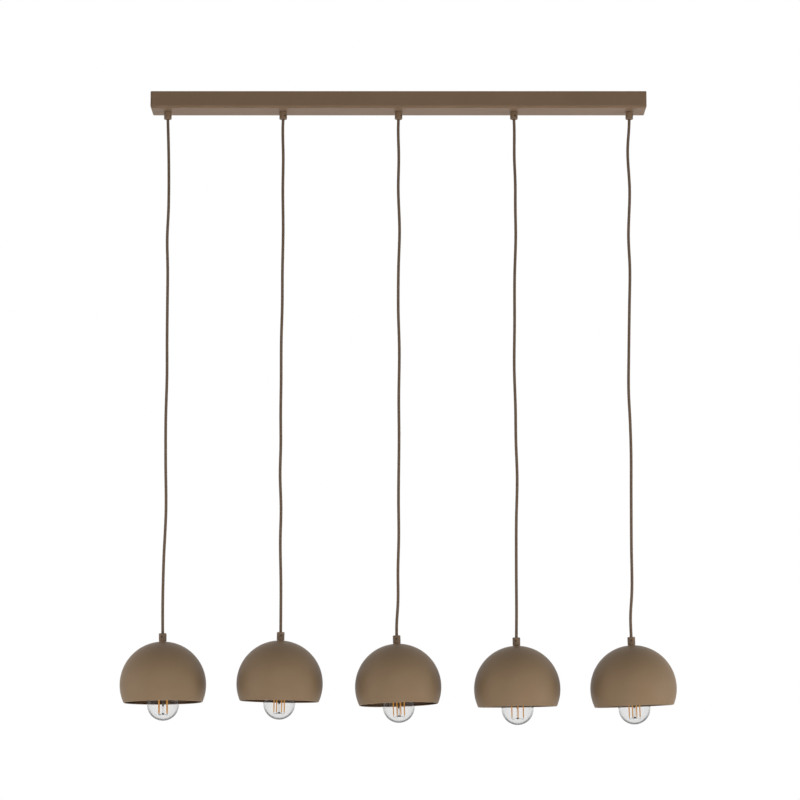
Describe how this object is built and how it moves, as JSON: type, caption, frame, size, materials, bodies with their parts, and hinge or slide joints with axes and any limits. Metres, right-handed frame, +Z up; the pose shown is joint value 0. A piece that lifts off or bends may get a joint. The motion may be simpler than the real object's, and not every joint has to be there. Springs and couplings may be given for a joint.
{
  "type": "pendant light",
  "caption": "Ceiling bar with a row of domed metal shades hung on cords, each over a clear filament bulb that unscrews.",
  "frame": {"origin": "middle of the mounting bracket's top face, on the ceiling plane", "axes": "+Z up into the ceiling, +X to the right along the bar, +Y away from the viewer"},
  "size_m": [1.0383, 0.1614, 1.1978],
  "materials": {
    "bar_paint": "fine matt powder coat, mocha brown",
    "shade_paint": "fine matt powder coat, mocha brown",
    "grip_paint": "satin paint, mocha brown",
    "zinc_steel": "zinc plated",
    "dark_steel": "blackened",
    "terminal_plastic": "moulded",
    "brass": "plain",
    "cord_sheath": "satin sheath, mocha brown",
    "holder_plastic": "moulded, dark",
    "nickel": "nickel plated",
    "bulb_glass": "clear, polished",
    "filament": "amber phosphor coat"
  },
  "bodies": {
    "canopy": {"canopy_bar": "bar_paint", "mounting_bracket": "zinc_steel", "canopy_screws": "bar_paint", "ceiling_grips": "grip_paint", "ceiling_locknuts": "zinc_steel", "ceiling_grub_screws": "dark_steel", "terminal_block": "terminal_plastic", "terminal_screws": "brass", "canopy_leads": "cord_sheath", "earth_stud": "brass"},
    "suspension_1": {"cord_1": "cord_sheath"},
    "pendant_1": {"cord_grip_1": "grip_paint", "grip_fasteners_1": "zinc_steel", "shade_1": "shade_paint", "holder_cap_1": "holder_plastic", "holder_skirt_1": "holder_plastic", "holder_insert_1": "brass"},
    "lamp_1": {"bulb_cap_1": "nickel", "bulb_glass_1": "bulb_glass", "bulb_filaments_1": "filament"},
    "suspension_2": {"cord_2": "cord_sheath"},
    "pendant_2": {"cord_grip_2": "grip_paint", "grip_fasteners_2": "zinc_steel", "shade_2": "shade_paint", "holder_cap_2": "holder_plastic", "holder_skirt_2": "holder_plastic", "holder_insert_2": "brass"},
    "lamp_2": {"bulb_cap_2": "nickel", "bulb_glass_2": "bulb_glass", "bulb_filaments_2": "filament"},
    "suspension_3": {"cord_3": "cord_sheath"},
    "pendant_3": {"cord_grip_3": "grip_paint", "grip_fasteners_3": "zinc_steel", "shade_3": "shade_paint", "holder_cap_3": "holder_plastic", "holder_skirt_3": "holder_plastic", "holder_insert_3": "brass"},
    "lamp_3": {"bulb_cap_3": "nickel", "bulb_glass_3": "bulb_glass", "bulb_filaments_3": "filament"},
    "suspension_4": {"cord_4": "cord_sheath"},
    "pendant_4": {"cord_grip_4": "grip_paint", "grip_fasteners_4": "zinc_steel", "shade_4": "shade_paint", "holder_cap_4": "holder_plastic", "holder_skirt_4": "holder_plastic", "holder_insert_4": "brass"},
    "lamp_4": {"bulb_cap_4": "nickel", "bulb_glass_4": "bulb_glass", "bulb_filaments_4": "filament"},
    "suspension_5": {"cord_5": "cord_sheath"},
    "pendant_5": {"cord_grip_5": "grip_paint", "grip_fasteners_5": "zinc_steel", "shade_5": "shade_paint", "holder_cap_5": "holder_plastic", "holder_skirt_5": "holder_plastic", "holder_insert_5": "brass"},
    "lamp_5": {"bulb_cap_5": "nickel", "bulb_glass_5": "bulb_glass", "bulb_filaments_5": "filament"}
  },
  "joints": [
    {"name": "swing_1", "type": "hinge", "parent": "canopy", "child": "suspension_1", "pos_m": [-0.44, 0, -0.044], "axis": [1, 0, 0], "range_deg": [-25, 25]},
    {"name": "tilt_1", "type": "hinge", "parent": "suspension_1", "child": "pendant_1", "pos_m": [-0.4405, 0.0005, -1.03], "axis": [0, 1, 0], "range_deg": [-12, 12]},
    {"name": "bulb_turn_1", "type": "hinge", "parent": "pendant_1", "child": "lamp_1", "pos_m": [-0.4392, 0.00001, -1.12298], "axis": [0.014, -0.0052, -0.9999], "range_deg": [0, 1170]},
    {"name": "swing_2", "type": "hinge", "parent": "canopy", "child": "suspension_2", "pos_m": [-0.22, 0, -0.044], "axis": [1, 0, 0], "range_deg": [-25, 25]},
    {"name": "tilt_2", "type": "hinge", "parent": "suspension_2", "child": "pendant_2", "pos_m": [-0.22, -0.0015, -1.028], "axis": [0, 1, 0], "range_deg": [-12, 12]},
    {"name": "bulb_turn_2", "type": "hinge", "parent": "pendant_2", "child": "lamp_2", "pos_m": [-0.22162, -0.0002, -1.12097], "axis": [-0.0175, 0.014, -0.9998], "range_deg": [0, 1170]},
    {"name": "swing_3", "type": "hinge", "parent": "canopy", "child": "suspension_3", "pos_m": [0, 0, -0.044], "axis": [1, 0, 0], "range_deg": [-25, 25]},
    {"name": "tilt_3", "type": "hinge", "parent": "suspension_3", "child": "pendant_3", "pos_m": [-0.0035, 0.001, -1.034], "axis": [0, 1, 0], "range_deg": [-12, 12]},
    {"name": "bulb_turn_3", "type": "hinge", "parent": "pendant_3", "child": "lamp_3", "pos_m": [-0.00058, 0.00019, -1.12695], "axis": [0.0314, -0.0087, -0.9995], "range_deg": [0, 1170]},
    {"name": "swing_4", "type": "hinge", "parent": "canopy", "child": "suspension_4", "pos_m": [0.22, 0, -0.044], "axis": [1, 0, 0], "range_deg": [-25, 25]},
    {"name": "tilt_4", "type": "hinge", "parent": "suspension_4", "child": "pendant_4", "pos_m": [0.22, -0.003, -1.038], "axis": [0, 1, 0], "range_deg": [-12, 12]},
    {"name": "bulb_turn_4", "type": "hinge", "parent": "pendant_4", "child": "lamp_4", "pos_m": [0.2213, -0.00024, -1.13095], "axis": [0.014, 0.0297, -0.9995], "range_deg": [0, 1170]},
    {"name": "swing_5", "type": "hinge", "parent": "canopy", "child": "suspension_5", "pos_m": [0.44, 0, -0.044], "axis": [1, 0, 0], "range_deg": [-25, 25]},
    {"name": "tilt_5", "type": "hinge", "parent": "suspension_5", "child": "pendant_5", "pos_m": [0.4345, -0.0025, -1.037], "axis": [0, 1, 0], "range_deg": [-12, 12]},
    {"name": "bulb_turn_5", "type": "hinge", "parent": "pendant_5", "child": "lamp_5", "pos_m": [0.43807, -0.00007, -1.1299], "axis": [0.0384, 0.0262, -0.9989], "range_deg": [0, 1170]}
  ]
}
